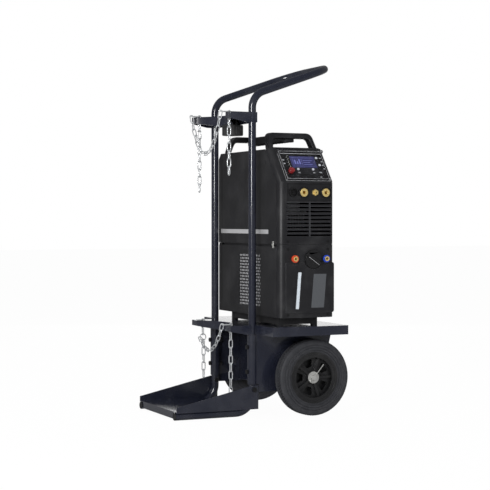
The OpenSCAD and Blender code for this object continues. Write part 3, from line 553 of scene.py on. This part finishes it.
makeTyre("left_tyre", 1)
makeTyre("right_tyre", -1)


class Shape:
    # collects simple solids into one mesh; sizes in mm in the trolley's own frame unless placed
    def __init__(self, place=None):
        self.bm = bmesh.new()
        self.place = place or Matrix.Translation(at(0, 0, 0)) @ Matrix.Scale(0.001, 4)

    def slab(self, low, high, ease=0.0):
        size = [b - a for a, b in zip(low, high)]
        middle = Vector([(a + b) / 2 for a, b in zip(low, high)])
        where = self.place @ Matrix.Translation(middle) @ Matrix.Diagonal((*size, 1))
        made = bmesh.ops.create_cube(self.bm, size=1, matrix=where)["verts"]
        if ease:
            edges = list(dict.fromkeys(e for v in made for e in v.link_edges))
            bmesh.ops.bevel(self.bm, geom=edges, offset=ease / 1000, segments=2, affect="EDGES", profile=0.5)

    def turned(self, foot, axis, outline, steps):
        # a solid turned about axis from foot, given by its radii and heights
        turn = Vector(axis).to_track_quat("Z", "Y").to_matrix().to_4x4()
        where = self.place @ Matrix.Translation(foot) @ turn
        rings = [[self.bm.verts.new(where @ Vector((radius * cos(t), radius * sin(t), height)))
                  for t in circle(steps)] for radius, height in outline]
        for ring, after in zip(rings, rings[1:]):
            joinRings(self.bm, ring, after)
        self.bm.faces.new(rings[-1])
        self.bm.faces.new(rings[0][::-1])

    def rod(self, foot, axis, length, r):
        # a round rod with a small chamfer at its far end
        ease = min(0.35, r * 0.2, length * 0.3)
        self.turned(foot, axis, ((r, 0), (r, length - ease), (r - ease, length)), 32)

    def dome(self, foot, axis, r):
        heights = (0, 0.5, 1.0, 1.4)
        self.turned(foot, axis, [(r * cos(h), r * 0.7 * sin(h)) for h in heights], 16)

    def tube(self, foot, r, bore, length):
        # a short tube along X with its front edges eased
        outer, inner, rings = 1, 0.6, []
        outline = ((bore, 0), (r, 0), (r, length - outer), (r - outer, length), (bore + inner, length),
                   (bore, length - inner))
        for radius, x in outline:
            points = [Vector(foot) + Vector((x, radius * cos(t), radius * sin(t))) for t in circle(32)]
            rings.append([self.bm.verts.new(self.place @ point) for point in points])
        for ring, after in zip(rings, rings[1:] + rings[:1]):
            joinRings(self.bm, ring, after)

    def plate(self, corners, x0, x1):
        # a flat plate facing along X, given by its corners in Y and Z
        ends = [[self.bm.verts.new(self.place @ Vector((x, y, z))) for y, z in corners] for x in (x0, x1)]
        joinRings(self.bm, *ends)
        self.bm.faces.new(ends[0])
        self.bm.faces.new(ends[1][::-1])

    def done(self, name, node, slot=None, finish=None, replaces=()):
        bmesh.ops.recalc_face_normals(self.bm, faces=self.bm.faces)
        smoothByAngle(self.bm, 35)
        mesh = bpy.data.meshes.new(name)
        self.bm.to_mesh(mesh)
        self.bm.free()
        obj = newPiece(name, mesh, node, slot, finish)
        if replaces:
            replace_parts(obj, *replaces)


def carve(obj, boxes):
    # cuts boxes out of a finished piece
    tool = Shape()
    for low, high in boxes:
        tool.slab(low, high)
    mesh = bpy.data.meshes.new("cutter")
    tool.bm.to_mesh(mesh)
    tool.bm.free()
    cutter = bpy.data.objects.new("cutter", mesh)
    scene.collection.objects.link(cutter)
    cut = obj.modifiers.new("cut", "BOOLEAN")
    cut.operation, cut.solver, cut.object = "DIFFERENCE", "EXACT", cutter
    graph = bpy.context.evaluated_depsgraph_get()
    obj.data = bpy.data.meshes.new_from_object(obj.evaluated_get(graph))
    obj.modifiers.clear()
    obj.modifiers.new("even", "WEIGHTED_NORMAL").keep_sharp = True
    bpy.data.objects.remove(cutter)


print("vents and marks on the cases")
vent = {
    "low": (-59, 425), "high": (154, 633), "pitchX": 14.2, "pitchZ": 12.24, "hole": 4.3, "between": 1.0,
    "corners": 12, "sheet": 0.8, "behind": 0.85, "screen": 0.8, "paintedShadeEnd": 16, "overlap": 2,
}


def makeVent(side, y, inward):
    # a panel of staggered round holes
    bm = bmesh.new()
    (x0, z0), (x1, z1) = vent["low"], vent["high"]
    columns, rows = round((x1 - x0) / vent["pitchX"]), round((z1 - z0) / vent["pitchZ"])
    cellX, cellZ = (x1 - x0) / columns, (z1 - z0) / rows
    corners, quarter = vent["corners"], vent["corners"] // 4
    for row in range(rows):
        shift = (0.5 if row % 2 else -0.5) * (cellX - 2 * vent["hole"] - vent["between"])
        for column in range(columns):
            cx, cz = x0 + (column + 0.5) * cellX, z0 + (row + 0.5) * cellZ
            edge, rim, deep = [], [], []
            for k in range(corners):
                t = 2 * pi * (k + 0.5) / corners
                reach = min(cellX / 2 / max(abs(cos(t)), 1e-6), cellZ / 2 / max(abs(sin(t)), 1e-6))
                edge.append(bm.verts.new(at(cx + reach * cos(t), y, cz + reach * sin(t))))
                spot = (cx + shift + vent["hole"] * cos(t), cz + vent["hole"] * sin(t))
                rim.append(bm.verts.new(at(spot[0], y, spot[1])))
                deep.append(bm.verts.new(at(spot[0], y + inward * vent["sheet"], spot[1])))
            for k in range(corners):
                j = (k + 1) % corners
                bm.faces.new((edge[k], edge[j], rim[j], rim[k]))
                bm.faces.new((rim[k], rim[j], deep[j], deep[k]))
            for number, (right, up) in enumerate(((1, 1), (-1, 1), (-1, -1), (1, -1))):
                k = 1 + number * quarter
                tip = bm.verts.new(at(cx + right * cellX / 2, y, cz + up * cellZ / 2))
                bm.faces.new((edge[k], tip, edge[(k + 1) % corners]))
    bmesh.ops.remove_doubles(bm, verts=bm.verts, dist=1e-6)
    mesh = bpy.data.meshes.new(side + "_vent")
    bm.to_mesh(mesh)
    bm.free()
    newPiece(side + "_vent", mesh, "cooler_case")
    # a pale screen behind the holes, with a dark strip at the rear end: painted shade for the dark inside of
    # the case behind the rearmost holes
    near, far = sorted((y + inward * vent["behind"], y + inward * (vent["behind"] + vent["screen"])))
    change, beyond = x0 + vent["paintedShadeEnd"], vent["overlap"]
    screen = Shape()
    screen.slab((change, near, z0 - beyond), (x1 + beyond, far, z1 + beyond))
    screenGrey = coat(side + "_screen_grey", (0.5, 0.5, 0.52), 0.4)
    screen.done(side + "_vent_screen", "cooler_case", finish=screenGrey)
    # the dark strip is painted shade, not a part of the cooler
    shade = Shape()
    shade.slab((x0 - beyond, near, z0 - beyond), (change, far, z1 + beyond))
    shade.done(side + "_vent_painted_shade", "cooler_case", finish=finishes["fan_plastic"])


caseMarks = {
    # the flat sides of both cases, then areas in X and Z
    "near": 50, "far": 290, "vent": (vent["low"], vent["high"]), "stripe": ((-236, 714), (226, 731)),
    "slot": ((198, 987), (226, 1000)), "seam": ((-240, 983.3), (226, 984.7)),
    "lowGroove": ((298.2, 390), (301, 667)), "highGroove": ((298.2, 674), (301, 908)),
}
carveOut = 5  # how far a cutting box stands out of the side


def bothSides(area, depth):
    # the same cut in the two flat sides of a case
    (x0, z0), (x1, z1) = caseMarks[area]
    near, far = caseMarks["near"], caseMarks["far"]
    return [((x0, near - carveOut, z0), (x1, near + depth, z1)),
            ((x0, far - depth, z0), (x1, far + carveOut, z1))]


carve(bpy.data.objects["cooler_case_eased"], bothSides("vent", 10) + bothSides("lowGroove", 1))
makeVent("near", caseMarks["near"] + 0.02, 1)
makeVent("far", caseMarks["far"] - 0.02, -1)
carve(bpy.data.objects["welder_case_eased"],
      bothSides("slot", 1.2) + bothSides("highGroove", 1) + bothSides("seam", 0.8))

stripePaint = coat("pale_grey_stripe", (0.42, 0.42, 0.43), 0.4, worn=0.1)
stripe = {"out": 0.14, "sunk": 0.05}
(stripeX0, stripeZ0), (stripeX1, stripeZ1) = caseMarks["stripe"]
for side, out in (("near", -1), ("far", 1)):
    low, high = sorted((caseMarks[side] + out * stripe["out"], caseMarks[side] - out * stripe["sunk"]))
    band = Shape()
    band.slab((stripeX0, low, stripeZ0), (stripeX1, high, stripeZ1))
    band.done(side + "_stripe", "welder_case", finish=stripePaint)

latch = {
    "plate": ((264, 660), (277, 686)), "thick": 1.6, "catch": ((267, 669), (274, 679)), "reach": 5,
    "middle": 270.5, "sunk": 0.2, "pins": ((664, 2.6), (683, 1.9)),
}
latches = Shape()
for side, out in (("near", -1), ("far", 1)):
    y = caseMarks[side]
    (x0, z0), (x1, z1) = latch["plate"]
    low, high = sorted((y, y + out * latch["thick"]))
    latches.slab((x0, low, z0), (x1, high, z1), 0.4)
    (x0, z0), (x1, z1) = latch["catch"]
    low, high = sorted((y + out, y + out * latch["reach"]))
    latches.slab((x0, low, z0), (x1, high, z1), 0.8)
    for z, r in latch["pins"]:
        foot = (latch["middle"], y + out * (latch["thick"] - latch["sunk"]), z)
        latches.rod(foot, (0, out, 0), latch["thick"], r)
latches.done("case_latches", "welder_case", "axle_steel")

spacer = Shape()
spacer.slab((-261.5, 53, 665.6), (-231, 287, 674.4))
spacer.done("joint_spacer", "welder_chassis")

print("control panel")
lean = radians(38)
panelPlace = Matrix.Translation(at(325, 0, 916)) @ Matrix.Rotation(-lean, 4, "Y") @ Matrix.Scale(0.001, 4)
panel = {
    # places across and up the slope; the lcd and the bars by two corners, a key by its middle and size
    "lcd": ((130, 72), (239, 131)), "lcdGap": 0.5, "face": -0.8, "film": 0.25, "hinge": 143.5,
    "filmArea": ((84, 6), (280, 170)), "buttonsTop": 40, "trim": (96, 273), "glassEdge": 6.3,
    "barFace": -0.66,
    "keys": [(264, 122, 7, 4.5), (266, 104, 7, 4.5), (266, 86, 7, 4.5), (267, 68, 7, 4.5), (245, 49, 11, 5),
             (240, 25, 8, 4.5), (216, 47, 9, 5), (151, 47, 9, 5), (100, 92, 8, 6), (100, 110, 8, 6)],
    "lights": [(118 + (k % 2) * 4.5, 72 + 6.6 * k) for k in range(10)], "lightR": 1.3,
    "bars": [(136, 122, 232, 123), (136, 80, 232, 80.8), (140, 84, 141, 118), (178, 84, 179, 118),
             (184, 108, 226, 110), (184, 98, 214, 100), (184, 88, 222, 90),
             (146, 90, 152, 112), (156, 90, 162, 104), (166, 90, 172, 116)],
}
panelGlass = gloss("panel_membrane", (0.005, 0.005, 0.006), 0.16)
softGrey = gloss("soft_key_grey", (0.3, 0.31, 0.33), 0.35)
paleGrey = gloss("printed_grey", (0.42, 0.43, 0.45), 0.4)


def lit(name, shade, power):
    f = Finish(name, glowPower=power, rough=0.3)
    blot = f.noise(0.004, 2)
    f.set("colour", f.mix(blot, shade, [c * 0.7 for c in shade]))
    f.set("glow", f.mix(blot, shade, [c * 0.8 for c in shade]))
    return f.mat


face = panel["face"]
(lcdY0, lcdZ0), (lcdY1, lcdZ1) = panel["lcd"]
(filmY0, filmZ0), (filmY1, filmZ1) = panel["filmArea"]
openY0, openY1, openZ1 = lcdY0 - panel["lcdGap"], lcdY1 + panel["lcdGap"], lcdZ1 + panel["lcdGap"]
film = Shape(panelPlace)
# the middle stretch leaves room for the screen, the buttons and the knob
for y0, z0, y1, z1 in ((filmY0, filmZ0, openY0, filmZ1), (openY1, filmZ0, filmY1, filmZ1),
                       (openY0, openZ1, openY1, filmZ1), (openY0, filmZ0, openY1, panel["buttonsTop"])):
    film.slab((face, y0, z0), (face + panel["film"], y1, z1), 0.1)
film.done("panel_film", "fascia", "black_gloss", panelGlass)

keys = Shape(panelPlace)
for y, up, wide, high in panel["keys"]:
    keys.slab((face, y - wide / 2, up - high / 2), (face + 0.9, y + wide / 2, up + high / 2), 0.3)
keys.done("soft_keys", "fascia", "button_plastic", softGrey)

lights = Shape(panelPlace)
for y, up in panel["lights"]:
    lights.dome((face + 0.2, y, up), (1, 0, 0), panel["lightR"])
lights.done("panel_lights", "fascia", "button_plastic", lit("indicator_white", (0.6, 0.62, 0.6), 0.35))

trim = Shape(panelPlace)
trimY0, trimY1 = panel["trim"]
trim.slab((face, trimY0, panel["hinge"] - 1.0), (face + 0.6, trimY1, panel["hinge"] + 1.0), 0.2)
trim.done("panel_trim", "fascia", "button_plastic", paleGrey)

# the screen: a thin glass in the opening and a smaller block behind it
glass = Shape(panelPlace)
for x0, x1, inset, ease in ((-1.9, -0.7, 0.3, 0.2), (-12, -1.8, panel["glassEdge"], 0)):
    glass.slab((x0, lcdY0 + inset, lcdZ0 + inset), (x1, lcdY1 - inset, lcdZ1 - inset), ease)
glass.done("display_glass", "display", replaces=["display"])
bars = Shape(panelPlace)
barFace = panel["barFace"]
for y0, z0, y1, z1 in panel["bars"]:
    bars.slab((barFace - 0.05, y0, z0), (barFace + 0.03, y1, z1))
bars.done("display_bars", "fascia", "display", lit("display_bars", (0.12, 0.13, 0.36), 0.4))

print("sockets and cooler front")
# the paler grey of the slat lips and the middle bar is a painted highlight where light falls on their top
# edges
slatHighlightGrey = coat("slat_painted_highlight_grey", (0.045, 0.046, 0.052), 0.4, worn=0.1)
grille = {
    "front": 325, "foot": 706, "pitch": 15.3, "slot": 7.5, "count": 9, "spans": ((83, 179), (185, 277)),
    "lip": 1.8, "bar": ((180.6, 703), (183.4, 838)),
}
front = grille["front"]
lips = Shape()
for k in range(grille["count"]):
    z = grille["foot"] + k * grille["pitch"] + grille["slot"]
    for near, far in grille["spans"]:
        lips.slab((front - 1, near, z), (front + 0.7, far, z + grille["lip"]), 0.5)
(barY0, barZ0), (barY1, barZ1) = grille["bar"]
lips.slab((front - 1, barY0, barZ0), (front + 0.8, barY1, barZ1), 0.5)
lips.done("grille_lips", "welder_front", finish=slatHighlightGrey)

# the grey bar on the filler cap, set by "mark", is a painted highlight for the bright reflection on the cap
cap = {"middle": (0, 195, 617), "turn": -35, "mark": ((337.4, -24, -7.2), (338.9, 31, -5.4))}
capTurn = Matrix.Rotation(radians(cap["turn"]), 4, "X") @ Matrix.Scale(0.001, 4)
capHighlight = Shape(Matrix.Translation(at(*cap["middle"])) @ capTurn)
capHighlight.slab(*cap["mark"], 0.4)
capHighlight.done("cap_painted_highlight", "filler_cap", finish=coat("cap_highlight_grey", (0.3, 0.3, 0.31), 0.35, worn=0.1))

flange = {"y": (158, 253), "z": 875, "r": 16.2, "bore": 6.7, "surround": 21, "gap": 0.2}
rings, surrounds = Shape(), Shape()
for y in flange["y"]:
    rings.tube((front - 3.2, y, flange["z"]), flange["r"], flange["bore"], 3.6)
    surrounds.tube((front - 8, y, flange["z"]), flange["surround"], flange["r"] + flange["gap"], 6.4)
rings.done("socket_flanges", "weld_sockets", finish=finishes["brass"])
surrounds.done("socket_surrounds", "welder_front", finish=finishes["bolt_black"])
label = Shape()
label.plate([(186, 428), (241, 428), (252, 559), (197, 559)], 328.9, 329.2)
labelGrey = coat("label_grey", (0.075, 0.08, 0.088), 0.4, worn=0.05)
label.done("front_label", "cooler_front", "case_plastic", labelGrey)
